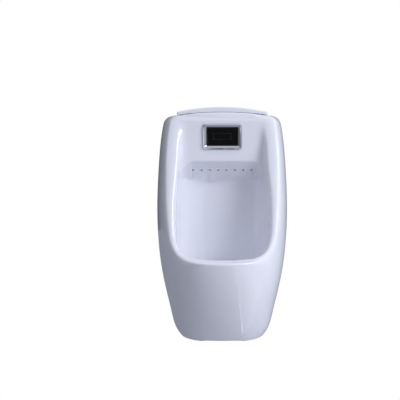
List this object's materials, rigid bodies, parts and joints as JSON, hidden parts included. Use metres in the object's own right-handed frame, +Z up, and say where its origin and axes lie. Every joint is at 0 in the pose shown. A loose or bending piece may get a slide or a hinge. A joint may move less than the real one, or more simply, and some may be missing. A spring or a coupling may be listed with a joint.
{
  "type": "wall-hung sensor urinal",
  "caption": "One-piece wall-hung ceramic urinal with a deep bowl, spray holes, loose lid, sensor window, battery flush valve inside and a bottle trap behind",
  "frame": {"origin": "centre of the four screw holes of the two wall hangers, on the wall plane", "axes": "+X to the right of a person facing the urinal, +Y into the wall, +Z up"},
  "size_m": [0.336, 0.3006, 0.59],
  "materials": {
    "glazed_china": "glossy cool white sanitary glaze",
    "rubber_black": "moulded matt black rubber",
    "steel_zinc": "zinc-plated pressed steel",
    "steel_bright": "bright stainless steel",
    "chrome_plate": "polished chrome plate",
    "smoked_acrylic": "dark smoked infra-red acrylic",
    "plastic_black": "moulded black plastic",
    "plastic_grey": "moulded grey plastic",
    "plastic_white": "moulded white plastic",
    "diode_resin": "cast dark resin",
    "circuit_board": "green lacquered board",
    "battery_jacket": "shrunk plain jacket",
    "brass_cast": "cast and turned brass"
  },
  "bodies": {
    "body": {"ceramic_body": "glazed_china", "hanger_brackets": "steel_zinc", "sensor_bezel": "chrome_plate", "sensor_gasket": "rubber_black", "sensor_window": "smoked_acrylic", "sensor_housing": "plastic_black", "sensor_cover": "plastic_black", "sensor_eye": "plastic_grey", "ir_diodes": "diode_resin", "sensor_board": "circuit_board", "cable_gland": "plastic_black", "sensor_clamp": "steel_zinc", "clamp_screws": "steel_bright", "battery_case": "plastic_black", "batteries": "battery_jacket", "case_contacts": "steel_bright", "valve_body": "brass_cast", "valve_bonnet": "brass_cast", "bonnet_screws": "steel_bright", "core_tube": "steel_bright", "plunger_spring": "steel_bright", "solenoid_coil": "plastic_black", "coil_nut": "steel_zinc", "inlet_filter": "steel_bright", "plug_retainer": "brass_cast", "tail_nut": "brass_cast", "flush_tail": "brass_cast", "spud_seal": "rubber_black", "waste_body": "chrome_plate", "flange_gasket": "rubber_black", "under_gasket": "rubber_black", "lock_nut": "brass_cast", "trap_nut": "plastic_white", "trap_washer": "rubber_black", "trap_body": "plastic_white", "dip_tube": "plastic_white", "pipe_nut": "plastic_white", "pipe_seal": "rubber_black", "outlet_pipe": "plastic_white"},
    "lid": {"ceramic_lid": "glazed_china", "lid_pads": "rubber_black"},
    "strainer": {"drain_strainer": "steel_bright"},
    "cell_cap": {"battery_cap": "plastic_grey", "cap_contacts": "steel_bright"},
    "pilot": {"plunger": "steel_bright"},
    "piston": {"valve_piston": "plastic_white", "piston_seal": "rubber_black"},
    "stop": {"stop_plug": "chrome_plate", "plug_rings": "rubber_black"},
    "cup": {"trap_cup": "plastic_white", "cup_seal": "rubber_black"}
  },
  "joints": [
    {"name": "lid_lift", "type": "slide", "parent": "body", "child": "lid", "axis": [0, 0, 1], "range_m": [0, 0.12]},
    {"name": "strainer_lift", "type": "slide", "parent": "body", "child": "strainer", "axis": [0, 0, 1], "range_m": [0, 0.1]},
    {"name": "cell_cap_lift", "type": "slide", "parent": "body", "child": "cell_cap", "axis": [0, 0, 1], "range_m": [0, 0.03]},
    {"name": "plunger_lift", "type": "slide", "parent": "body", "child": "pilot", "axis": [0, 0, 1], "range_m": [0, 0.002], "stiffness_N_per_m": 300, "springref_m": -0.004, "deforming": ["plunger_spring"]},
    {"name": "piston_lift", "type": "slide", "parent": "body", "child": "piston", "axis": [0, 0, 1], "range_m": [0, 0.003]},
    {"name": "stop_turn", "type": "hinge", "parent": "body", "child": "stop", "pos_m": [0.074, -0.042, 0.0115], "axis": [1, 0, 0], "range_deg": [0, 90]},
    {"name": "cup_drop", "type": "slide", "parent": "body", "child": "cup", "axis": [0, 0, -1], "range_m": [0, 0.03]}
  ],
  "couplings": [
    {"joint": "piston_lift", "follows": "plunger_lift", "ratio": 1.5}
  ]
}
